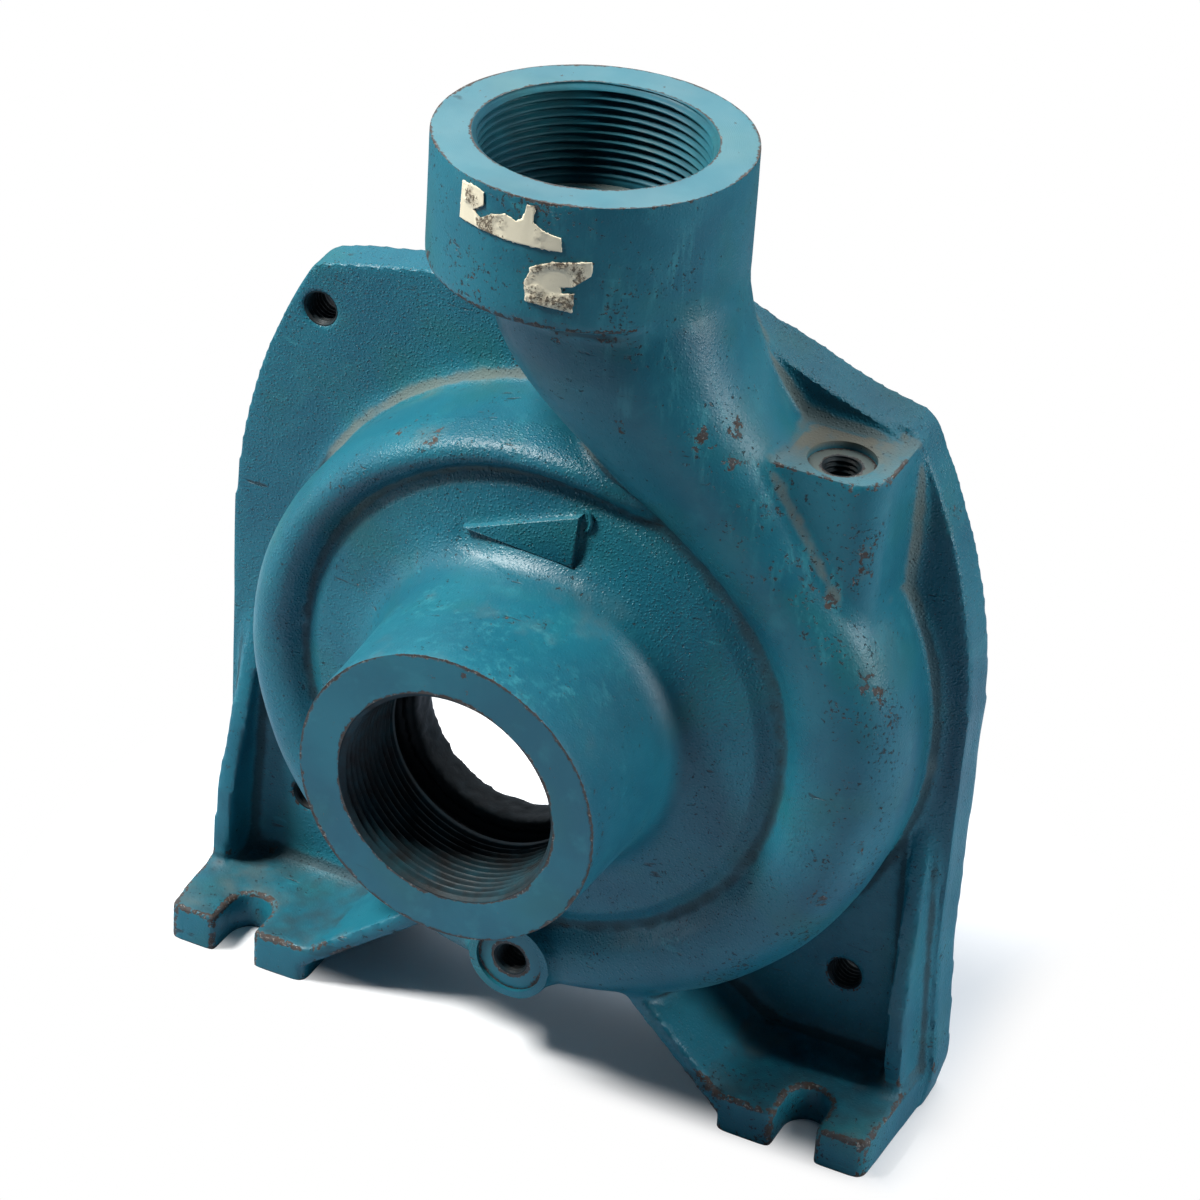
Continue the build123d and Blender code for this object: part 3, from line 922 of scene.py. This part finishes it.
@dataclass
class Casting:
    """The casing: a raw casting with soft blends and a sand skin, then machined.

    The places of the wedge, the curl, the scars and the neck's line of painted highlight are in
    millimetres.
    """

    machining: Machining
    enamel: Enamel
    voxel: float = 1.0 * MM
    triangles: int = 170000
    blend_rounds: int = 40
    blend_fill: float = 1.15
    edge_rounds: int = 8
    edge_softness: float = 0.35
    crease_rounds: int = 10
    crease_depth: float = 0.5 * MM
    side_inset: float = 0.03 * MM
    dirt_and_shade_depth: float = 1.1 * MM
    wear_height: float = 0.22 * MM
    wedge_corners: tuple[Span, ...] = ((-20.5, 48.8), (10.6, 60.6), (10.4, 46.8))
    wedge_rings: tuple[Place, ...] = ((43.5, 1.2, 0.0), (46.5, 0.0, 0.1))
    wedge_bevel: float = 0.35 * MM
    curl_place: Place = (11.6, -44.9, 59.6)
    curl_reach: Place = (2.0, 0.0, 3.0)
    curl_radius: float = 0.65 * MM
    curl_steps: int = 14
    scars: tuple[tuple[float, float, float, float], ...] = (
        (-44, -39, 65, 4), (-32, -43, 70, 5), (23, -55, 95, 4), (43, -50, 95, 5),
        (49, -43, 96, 5), (50, -46, 89, 4), (80, -40, 87, 4), (83, -38, 68, 5),
        (83, -37, 64, 4), (77, -41, 56, 4), (88, -42, 36, 5), (92, -39, 32, 4),
        (92, -43, -13, 4), (84, -45, -31, 5), (-4, -67, 42, 4), (2, -71, 42, 4),
        (-91, -14, -99, 5), (-101, -30, -73, 3), (-22, -58, 118, 7), (-8, -62, 116, 6),
        (8, -60, 117, 6), (20, -57, 119, 5), (-31, -50, 122, 6))
    # Line along the neck's right ridge where a painted highlight streak runs.
    neck_sheen_line: tuple[Place, Place] = ((36, -50, 108), (86, -42, 40))
    measures: dict[str, np.ndarray] = field(default_factory=dict)

    def raw(self) -> bpy.types.Object:
        """Build the raw casting from the frame's solid."""
        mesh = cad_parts[CASING_NODE].data.copy()
        points = read_rows(mesh.vertices, "co")
        mesh.vertices.foreach_set("co", self.machining.add_stock(points).ravel())
        mesh.materials.clear()
        piece = new_object("casing", mesh)
        remesh(piece, self.voxel)
        return piece

    def soften(self, piece: bpy.types.Object) -> None:
        """Fill the inner corners with cast blends and ease the outer ones.

        Args:
            piece: The raw casting.
        """
        skin = Skin(piece.data)
        points = skin.points
        fine = skin.spread(points, self.edge_rounds)
        broad = skin.spread(fine, self.blend_rounds)
        normals = skin.spread(skin.normals, self.edge_rounds)
        normals /= np.linalg.norm(normals, axis=1)[:, None]
        sharp = np.sum((fine - points) * normals, axis=1)
        hollow = np.sum((broad - points) * normals, axis=1)

        # From here on, places are told apart in millimetres.
        x, y, z = points.T / MM
        reach = np.hypot(x, z)
        inside = ((reach < self.machining.chamber[0] / MM + 1) & (y > -38)) | (reach < 35)
        arrow = between(x, -23, 13) & between(z, 43, 64) & (y < -42)
        groove = between(reach, 57, 75) & (y < -38)
        crisp = arrow | groove
        eye = (reach < 29) & between(y, -61, -47)
        rim = np.maximum(ease(np.abs(x), 84, 93), ease(z, 76, 87))
        rim = rim * ease(z, -108, -96) * ease(-y, 8, 1) * (z < 104)

        out = np.clip(hollow, 0, None) * self.blend_fill * (1 - 0.75 * inside) * (1 - 0.8 * crisp)
        out += np.clip(sharp, None, 0) * self.edge_softness
        out += rough(points, (0.22, 26, 1), (0.10, 9, 2))
        out += rim * (0.4 * MM + rough(points, (0.25, 14, 3), (0.13, 3.5, 4)))
        out += eye * (0.8 * MM + rough(points, (0.24, 1.5, 5)))
        moved = points + (fine - points) * 0.25 + normals * out[:, None]
        crease = np.clip(hollow / self.crease_depth, 0, 1) * ~(inside | crisp)
        moved += (skin.spread(moved, self.crease_rounds) - moved) * crease[:, None]
        moved = self.fit(moved, (np.abs(y) < 0.35) & (skin.normals[:, 1] > 0.8), z < 100)
        piece.data.vertices.foreach_set("co", moved.ravel())
        piece.data.update()

        kept = np.ones(len(points))
        for place, share in (((y < -36) & (reach > 46) & between(z, -98, 86), 0.35),
                             ((np.abs(x) > 88) & between(z, -97, 84), 0.40),
                             (between(z, 70, 106) & (y > -16), 0.40),
                             (groove, 0.0),
                             ((z < -96) & (y < -14), 1.04)):
            kept[place] = share
        # The tops of the feet get crevice grime: painted shade, with some dirt.
        foot_top_shade = between(z, -102, -97) & (y < -14)
        # Hollow places take dark crevice grime, which is real dirt and painted shade, a little less
        # in the groove.
        dirt = np.clip(hollow / self.dirt_and_shade_depth, 0, 1) * np.where(groove, 0.85, 1.0)
        self.measures = {
            "points": moved,
            "wear": np.clip(-sharp / self.wear_height, 0, 1) * kept,
            "crevice_dirt_and_shade": np.maximum(dirt, foot_top_shade * 0.60),
        }

    def fit(self, moved: np.ndarray, face: np.ndarray, flat: np.ndarray) -> np.ndarray:
        """Bring the motor face back to its plane, and the rest inside the solid's box.

        Args:
            moved: Softened corners, in metres.
            face: Which of them lie on the motor face.
            flat: Which of them mustn't stand behind it.

        Returns:
            The fitted corners.
        """
        depth = moved[:, 1]
        depth[face | (flat & (depth > 0))] = 0.0
        low, high = (np.array(corner) for corner in CAD_BOX)
        inset = np.array((self.side_inset, 0, 0))
        return np.clip(moved, low + inset, high - inset)

    def wedge(self) -> bpy.types.Mesh:
        """Flow wedge with drafted sides and a soft edge."""
        corners = [Vector((x * MM, 0, z * MM)) for x, z in self.wedge_corners]
        middle = sum(corners, Vector()) / len(corners)
        form = bmesh.new()
        rings = []
        for depth, spread, tilt in self.wedge_rings:
            ring = []
            for corner in corners:
                out = (corner - middle).normalized() * spread * MM
                out.y = -depth * MM - tilt * (corners[1].z - corner.z)
                ring.append(form.verts.new(corner + out))
            rings.append(ring)
        low, high = rings
        form.faces.new(low)
        top = form.faces.new(reversed(high))
        for first, second in ((0, 1), (1, 2), (2, 0)):
            form.faces.new((low[second], low[first], high[first], high[second]))
        bmesh.ops.recalc_face_normals(form, faces=form.faces)
        bmesh.ops.bevel(form, geom=list(top.edges), offset=self.wedge_bevel, segments=2,
                        profile=0.6, affect="EDGES")
        return to_mesh(form, "wedge")

    def curl(self) -> bpy.types.Mesh:
        """Small raised curl that the pattern left beside the wedge."""
        steps = self.curl_steps
        angle = (np.arange(8) * math.pi / 4)[:, None]
        rings = []
        for step in range(steps + 1):
            turn = math.radians(-115 + 230 * step / steps)
            out = np.array((math.cos(turn), 0, math.sin(turn)))
            taper = max(0.25, math.sin(math.pi * (step + 0.6) / (steps + 1.2)))
            spine = (np.array(self.curl_place) + out * self.curl_reach) * MM
            round_spine = np.cos(angle) * out + np.sin(angle) * np.array((0, -1, 0))
            rings.append(spine + self.curl_radius * taper * round_spine)
        return ring_mesh("curl", np.array(rings), closed=False)

    def thin(self, piece: bpy.types.Object) -> None:
        """Bring the mesh down to its triangle budget."""
        decimate = piece.modifiers.new("thin", "DECIMATE")
        decimate.ratio = self.triangles / (2 * len(piece.data.polygons))
        decimate.use_collapse_triangulate = True
        settle(piece)

    def paint_measures(self, piece: bpy.types.Object) -> None:
        """Store wear, dirt, painted shade, painted highlight and relief on the finished mesh, by
        place in millimetres.

        Args:
            piece: The machined casting.
        """
        mesh = piece.data
        points = read_rows(mesh.vertices, "co")
        source = self.measures["points"]
        tree = KDTree(len(source))
        for index, point in enumerate(source):
            tree.insert(point, index)
        tree.balance()
        nearest = np.array([tree.find(point)[1] for point in points])

        rows = points / MM
        x, y, z = rows.T
        nose = np.hypot(x, z)
        boss = np.hypot(x, y - self.machining.boss_axis[1] / MM)
        wear = np.maximum.reduce([
            self.measures["wear"][nearest],
            between(nose, 37, 46) * ease(y, -92, -93),
            (boss > 37) * ease(z, 153.8, 154.8),
            ease(z, -110.8, -112) * (y < -1),
        ])
        cover = ease(nose, 44, 52) * (1 - ease(nose, 76, 84)) * (y < -36)
        flange = ease(y, -20, -12.5) * (nose > 70)
        low_right = ease(x, 10, 50) * ease(-z, 0, 50) * 0.35
        sand = np.clip(0.22 + cover + flange + low_right, 0, 1) * (0.7 + 0.3 * ease(z, -60, 40))
        pad = between(x, 40, 88) & between(z, 87.4, 89) & between(y, -40, -12)
        pad = pad * (0.35 + 0.65 * ease(y, -37, -27)) * (1 - 0.55 * ease(x, 74, 86))
        ridge = ease(nose, 80, 88) * ease(-y, 30, 38) * ease(x, 40, 60)
        boss_front = (boss > 38) * ease(-y, 40, 60) * (z > 112)
        boss_side = (boss > 36) * ease(x, -4, 16) * (1 - ease(x, 34, 40)) * ease(z, 84, 100)
        nose_top = between(nose, 40, 47) * ease(z, 22, 34) * (y < -58)
        # Right and lower parts of the groove round the cover: painted shade, given as soot-coloured
        # grime along the cover's edge.
        groove_shade = between(nose, 55, 77) * (y < -37)
        groove_shade = groove_shade * np.maximum(ease(x, -5, 20), ease(-z, 0, 30) * 0.7)

        # A stripe along the neck's right ridge takes the lighter streaks as a painted highlight.
        start, end = (np.array(place) for place in self.neck_sheen_line)
        run = end - start
        along = np.clip((rows - start) @ run / (run @ run), 0, 1)
        beside = np.linalg.norm(rows - start - along[:, None] * run, axis=1)
        scar = np.zeros(len(rows))
        for *centre, size in self.scars:
            off = np.linalg.norm(rows - centre, axis=1)
            scar = np.maximum(scar, 1 - ease(off, 0.3 * size, size))
        values = {
            "wear": wear,
            "crevice_dirt_and_shade": self.measures["crevice_dirt_and_shade"][nearest],
            "sand": sand,
            "dusty": pad,
            "pitted": np.clip(ridge + boss_front * 0.8, 0, 1),
            "scar": scar,
            "groove_shade": groove_shade,
            "rubbed_and_sheen": np.maximum.reduce([boss_side * 0.8, 1 - ease(beside, 5, 12), nose_top * 0.8]),
        }
        for name, value in values.items():
            store(mesh, name, value)

    def assign(self, piece: bpy.types.Object) -> None:
        """Give each face of the casting its finish.

        Args:
            piece: The machined casting.
        """
        cutting = self.machining
        up, forward = Facing.UP, Facing.FORWARD
        prime_radius, prime_depth = cutting.prime_spot
        drain_radius, drain_depth = cutting.drain_spot
        spots = [
            (CastPaint(self.enamel), None),
            (TurnedPaint(self.enamel, "nose_ring_paint", (0, 0, 0), forward,
                         cutting.nose_radius, cutting.port_major), (1, -cutting.nose_face)),
            # The boss's top ring: its haze is chalky film and a painted reflection of the bright
            # room.
            (TurnedPaint(self.enamel, "boss_ring_paint", cutting.boss_axis, up,
                         cutting.boss_radius, cutting.port_major, haze_and_sheen=0.65),
             (2, cutting.boss_top)),
            (TurnedPaint(self.enamel, "prime_spot_paint", cutting.prime, up,
                         prime_radius, cutting.plug_lip, haze_and_sheen=0.85, film=self.enamel.dust),
             (2, cutting.pad_top - prime_depth)),
            (TurnedPaint(self.enamel, "drain_spot_paint", cutting.drain, forward,
                         drain_radius, cutting.plug_lip), (1, drain_depth - cutting.drain_face)),
            (TurnedIron(self.enamel), (1, 0.0)),
            # Dark core inside the casing behind the eye: rust, dirt and painted shade.
            (BorePaint(self.enamel, "core_paint", 0.8, 0.85), None),
        ]
        mesh = piece.data
        mesh.materials.clear()
        centres = read_rows(mesh.polygons, "center")
        normals = read_rows(mesh.polygons, "normal")
        index = np.zeros(len(centres), dtype=np.int32)
        for number, (finish, plane) in enumerate(spots):
            mesh.materials.append(finish.material())
            if plane:
                axis, level = plane
                on = np.abs(centres[:, axis] - level) < 0.01 * MM
                index[on & (np.abs(normals[:, axis]) > 0.999)] = number
        reach = np.hypot(centres[:, 0], centres[:, 2])
        depths = centres[:, 1]
        for radius, depth in (cutting.register, cutting.chamber):
            wall = (np.abs(reach - radius) < 0.1 * MM) & (np.abs(normals[:, 1]) < 0.05)
            bottom = np.abs(depths + depth) < 0.01 * MM
            near = (depths > -depth - 0.1 * MM) & (reach < radius + 0.2 * MM)
            index[(wall | bottom) & near] = len(spots) - 2
        core = (reach < cutting.core[0]) & (depths > -cutting.core[1]) & (index == 0)
        index[core] = len(spots) - 1
        mesh.polygons.foreach_set("material_index", index)
        mesh.shade_smooth()
        mesh.set_sharp_from_angle(angle=math.radians(40))

    def build(self) -> bpy.types.Object:
        """Build and dress the casting.

        Returns:
            The finished piece.
        """
        piece = self.raw()
        self.soften(piece)
        self.thin(piece)
        for mark in (self.wedge(), self.curl()):
            combine(piece, mark, "UNION")
        self.machining.cut(piece)
        self.paint_measures(piece)
        self.assign(piece)
        dress(piece)
        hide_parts(CASING_NODE)
        return piece


@dataclass(frozen=True)
class Thread:
    """Internal thread as a sleeve whose inner wall is the thread itself."""

    name: str
    facing: Facing
    centre: Place
    mouth: float
    length: float
    minor: float
    major: float
    pitch: float
    chamfer: float
    around: int = 144
    rows_per_pitch: int = 10
    seat: float = 0.04 * MM

    def radius(self, depth: np.ndarray, turn: np.ndarray) -> np.ndarray:
        """Radius of the inner wall.

        Args:
            depth: Distances in from the mouth.
            turn: Angles as shares of a turn.

        Returns:
            The radii.
        """
        phase = np.mod(depth / self.pitch + turn, 1.0)
        tooth = np.clip(1.35 * (1 - np.abs(2 * phase - 1)) - 0.18, 0, 1)
        runout = ease(self.length - depth, 0.3 * self.pitch, 1.5 * self.pitch)
        wall = self.minor + (self.major - self.minor) * tooth * runout
        lead = self.minor + self.chamfer - depth
        return np.maximum(wall, np.minimum(lead, self.major))

    def build(self, finish: bpy.types.Material) -> bpy.types.Object:
        """Build and dress the sleeve.

        Args:
            finish: Its material.

        Returns:
            The piece.
        """
        rows = int(self.length / self.pitch * self.rows_per_pitch)
        turn = np.arange(self.around) / self.around
        depths, turns = np.meshgrid(np.linspace(0, self.length, rows + 1), turn, indexing="ij")
        outer = np.full((1, self.around), self.major + self.seat)
        radii = np.vstack([outer, self.radius(depths, turns), outer])
        depths = np.vstack([depths[:1], depths, depths[-1:]])
        angle = 2 * np.pi * turn
        rings = np.stack([radii * np.cos(angle), radii * np.sin(angle), self.mouth - depths], -1)
        axis = Vector(self.facing.value)
        centre = Vector(self.centre)
        centre -= axis * centre.dot(axis)
        place = np.array(Matrix.Translation(centre) @ self.facing.matrix())
        mesh = ring_mesh(self.name, rings @ place[:3, :3].T + place[:3, 3], closed=True)
        mesh.shade_smooth()
        mesh.set_sharp_from_angle(angle=math.radians(60))
        mesh.materials.append(finish)
        piece = new_object(self.name, mesh)
        dress(piece)
        return piece


@dataclass
class Threads:
    """All the threads of the casing, cut as sleeves in their holes."""

    machining: Machining
    enamel: Enamel
    port_pitch: float = 25.4 / 11 * MM
    port_chamfer: float = 1.55 * MM
    screw_pitch: float = 1.5 * MM
    screw_minor: float = 4.25 * MM
    screw_chamfer: float = 0.5 * MM
    screw_inset: float = 0.4 * MM
    wall_gap: float = 0.05 * MM

    def build(self) -> list[bpy.types.Object]:
        """Build the two port threads and the small tapped holes.

        Returns:
            The finished pieces.
        """
        cutting = self.machining
        up, forward = Facing.UP, Facing.FORWARD
        inset = self.screw_inset
        # The dirt amounts of the bore paints darken the bores: dirt and painted shade.
        upper = BorePaint(self.enamel, "upper_bore_paint", 0.36).material()
        lower = BorePaint(self.enamel, "suction_bore_paint", 0.80, 0.40).material()
        steel = BorePaint(self.enamel, "screw_hole_paint", 0.9, 0.6).material()
        port = {"minor": cutting.port_minor, "major": cutting.port_major,
                "pitch": self.port_pitch, "chamfer": self.port_chamfer,
                "length": cutting.thread_length}
        small = {"minor": self.screw_minor, "major": cutting.screw_wall - self.wall_gap,
                 "pitch": self.screw_pitch, "chamfer": self.screw_chamfer,
                 "around": 40, "rows_per_pitch": 8}
        *through, blind = cutting.screw_places()
        pieces = [
            Thread("discharge_thread", up, cutting.boss_axis, cutting.boss_top,
                   **port).build(upper),
            Thread("suction_thread", forward, (0, 0, 0), cutting.nose_face, **port).build(lower),
            Thread("prime_thread", up, cutting.prime, cutting.pad_top - cutting.prime_spot[1],
                   length=16 * MM, **small).build(steel),
            Thread("drain_thread", forward, cutting.drain,
                   cutting.drain_face - cutting.drain_spot[1],
                   length=12 * MM, **small).build(steel),
            Thread("flange_thread_4", Facing.BACK, blind, -inset,
                   length=cutting.blind_depth - 1 * MM, **small).build(steel),
        ]
        for number, place in enumerate(through, start=1):
            thread = Thread(f"flange_thread_{number}", forward, place, cutting.flange - inset,
                            length=cutting.flange - 2 * inset, **small)
            pieces.append(thread.build(steel))
        return pieces


@dataclass
class LabelScrap:
    """Torn scrap of paper that stands for its thin solid on the boss."""

    node: str
    seed: int
    machining: Machining
    voxel: float = 0.13 * MM
    wrinkle: float = 0.16 * MM
    thickness: float = 0.3 * MM

    def build(self, finish: bpy.types.Material) -> bpy.types.Object:
        """Build and dress the scrap.

        Args:
            finish: Its material.

        Returns:
            The piece.
        """
        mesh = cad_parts[self.node].data.copy()
        mesh.materials.clear()
        piece = new_object(f"{self.node}_torn", mesh)
        remesh(piece, self.voxel)
        mesh = piece.data
        skin = Skin(mesh)
        points = skin.points
        seed = self.seed
        off_axis = (points - np.array(self.machining.boss_axis)) * (1, 1, 0)
        radius = np.linalg.norm(off_axis, axis=1)
        outward = off_axis / radius[:, None]
        facing = np.sum(skin.normals * outward, axis=1)
        tear = rough(points, (0.30, 1.1, seed), (0.22, 0.5, seed + 1))
        tear *= ease(1 - np.abs(facing), 0.3, 0.9)
        worn = ease(lattice_noise(points, 5 * MM, seed + 2), -0.1, 0.5)
        lift = self.wrinkle * worn * (1 + lattice_noise(points, 1.0 * MM, seed + 3))
        lift *= np.clip((radius - self.machining.boss_radius) / self.thickness, 0, 1)
        sideways = skin.normals - outward * facing[:, None]
        moved = points + outward * lift[:, None] + sideways * tear[:, None]
        mesh.vertices.foreach_set("co", moved.ravel())
        store(mesh, "worn", worn)
        mesh.update()
        mesh.shade_smooth()
        mesh.materials.append(finish)
        dress(piece)
        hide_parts(self.node)
        return piece


@dataclass
class Studio:
    """White floor, soft lamps and the camera.

    Each lamp has its name, place and size in metres, power in watts and colour.
    """

    floor_level: float = -112 * MM
    floor_half: float = 6.0
    floor_seen: Colour = (0.86, 0.87, 0.89)
    floor_near: Colour = (0.34, 0.40, 0.49)
    floor_far: Colour = (0.09, 0.10, 0.12)
    room_front: Colour = (0.030, 0.040, 0.052)
    room_behind: Colour = (0.62, 0.71, 0.80)
    bounce_round: Span = (300 * MM, 500 * MM)
    clean_round: Span = (103 * MM, 165 * MM)
    clean_front: Span = (38 * MM, 55 * MM)
    clean_right: Span = (98 * MM, 125 * MM)
    turn: float = 23.339
    lift: float = 32.194
    roll: float = 4.072
    distance: float = 1.027214
    focal: float = 115.94
    target: Place = (-1.969 * MM, 0.0, 7.292 * MM)
    lamps: tuple[tuple[str, Place, Span, float, Colour], ...] = (
        ("key", (-0.74, -0.43, 1.17), (0.36, 0.36), 38.0, (1.0, 0.985, 0.95)),
        ("left_fill", (-1.05, -0.45, 0.05), (0.5, 0.5), 2.6, (0.90, 0.96, 1.0)),
        ("overhead", (0.15, 0.35, 1.2), (0.7, 0.7), 5.0, (1.0, 0.99, 0.97)),
        ("side_strip", (1.08, 0.07, 0.46), (0.11, 0.90), 8.8, (0.95, 0.98, 1.0)))

    def camera(self) -> None:
        """Place the camera at the photo's viewing angle."""
        turn, lift, roll = (math.radians(angle) for angle in (self.turn, self.lift, self.roll))
        back = Vector((math.sin(turn) * math.cos(lift), -math.cos(turn) * math.cos(lift),
                       math.sin(lift)))
        right = Vector((math.cos(turn), math.sin(turn), 0))
        up = back.cross(right)
        right_rolled = right * math.cos(roll) + up * math.sin(roll)
        up_rolled = up * math.cos(roll) - right * math.sin(roll)
        data = bpy.data.cameras.new("camera")
        data.lens = self.focal
        data.sensor_width = 36.0
        camera = bpy.data.objects.new("camera", data)
        axes = Matrix((right_rolled, up_rolled, back)).transposed().to_4x4()
        place = Vector(self.target) + back * self.distance
        camera.matrix_world = Matrix.Translation(place) @ axes
        bpy.context.scene.collection.objects.link(camera)
        bpy.context.scene.camera = camera

    def light(self) -> None:
        """Add the softboxes, aimed at the casing."""
        for name, place, size, power, colour in self.lamps:
            data = bpy.data.lights.new(name, "AREA")
            data.shape = "RECTANGLE"
            data.size, data.size_y = size
            data.energy = power
            data.color = colour
            lamp = bpy.data.objects.new(name, data)
            lamp.location = place
            lamp.rotation_euler = (-Vector(place)).to_track_quat("-Z", "Y").to_euler()
            bpy.context.scene.collection.objects.link(lamp)

    def floor(self) -> None:
        """Lay a white floor that keeps the shadow under the casing and close behind it, and paints
        it out in front, to the right and further away.
        """
        mesh = bpy.data.meshes.new("floor")
        half = self.floor_half
        corners = [(-half, -half), (half, -half), (half, half), (-half, half)]
        mesh.from_pydata([(x, y, self.floor_level) for x, y in corners], [], [(0, 1, 2, 3)])
        piece = new_object("floor", mesh)
        shader = Shader("floor_white")
        reach = shader.reach((0, 0, 0), Facing.UP)
        seen, near, far = (
            shader.add("ShaderNodeBsdfDiffuse", None, {"Color": (*colour, 1.0)})
            for colour in (self.floor_seen, self.floor_near, self.floor_far))
        glow = shader.add("ShaderNodeEmission", None, {"Strength": 1.0})
        # Away from the casing, in front of it and to its right, the floor glows plain white to the
        # camera: painted light over the casing's shadow there.
        clean = reach.ease(*self.clean_round)
        clean = clean.most((0 - shader.part(shader.place, 1)).ease(*self.clean_front))
        clean = clean.most(shader.part(shader.place, 0).ease(*self.clean_right))
        dim = shader.blend(reach.ease(*self.bounce_round), near, far)
        pick = shader.camera_sees(shader.blend(clean, seen, glow), dim)
        shader.add("ShaderNodeOutputMaterial", None, {"Surface": pick.outputs[0]})
        mesh.materials.append(shader.material)

    def world(self) -> None:
        """Fill the room with soft light that is brightest behind the casing."""
        world = bpy.data.worlds.new("room")
        world.use_nodes = True
        graph = Graph(world.node_tree, "Generated")
        behind = graph.part(graph.place, 1).ease(-0.35, 0.75)
        colour = graph.mix(behind, self.room_front, self.room_behind)
        room = graph.add("ShaderNodeBackground", None, {0: colour})
        white = graph.add("ShaderNodeBackground", None, {0: (1.0, 1.0, 1.0, 1.0)})
        graph.add("ShaderNodeOutputWorld", None, {0: graph.camera_sees(white, room).outputs[0]})
        bpy.context.scene.world = world

    def build(self) -> None:
        """Clear the start-up objects and set up the whole studio."""
        for name in ("Cube", "Camera", "Light"):
            if name in bpy.data.objects:
                bpy.data.objects.remove(bpy.data.objects[name])
        bpy.context.scene.view_settings.view_transform = "Standard"
        self.camera()
        self.floor()
        self.world()
        self.light()


def main() -> None:
    """Build every piece in order and report it."""
    logging.basicConfig(level=logging.INFO, format="%(name)s: %(message)s")
    enamel = Enamel()
    machining = Machining()
    Studio().build()
    log.info("studio ready")
    pieces = [Casting(machining, enamel).build(), *Threads(machining, enamel).build()]
    paper = TornPaper().material()
    for node, seed in (("label_scrap_upper", 11), ("label_scrap_lower", 23)):
        pieces.append(LabelScrap(node, seed, machining).build(paper))
    for piece in pieces:
        log.info("%s: %d faces", piece.name, len(piece.data.polygons))


if __name__ == "__main__":
    main()
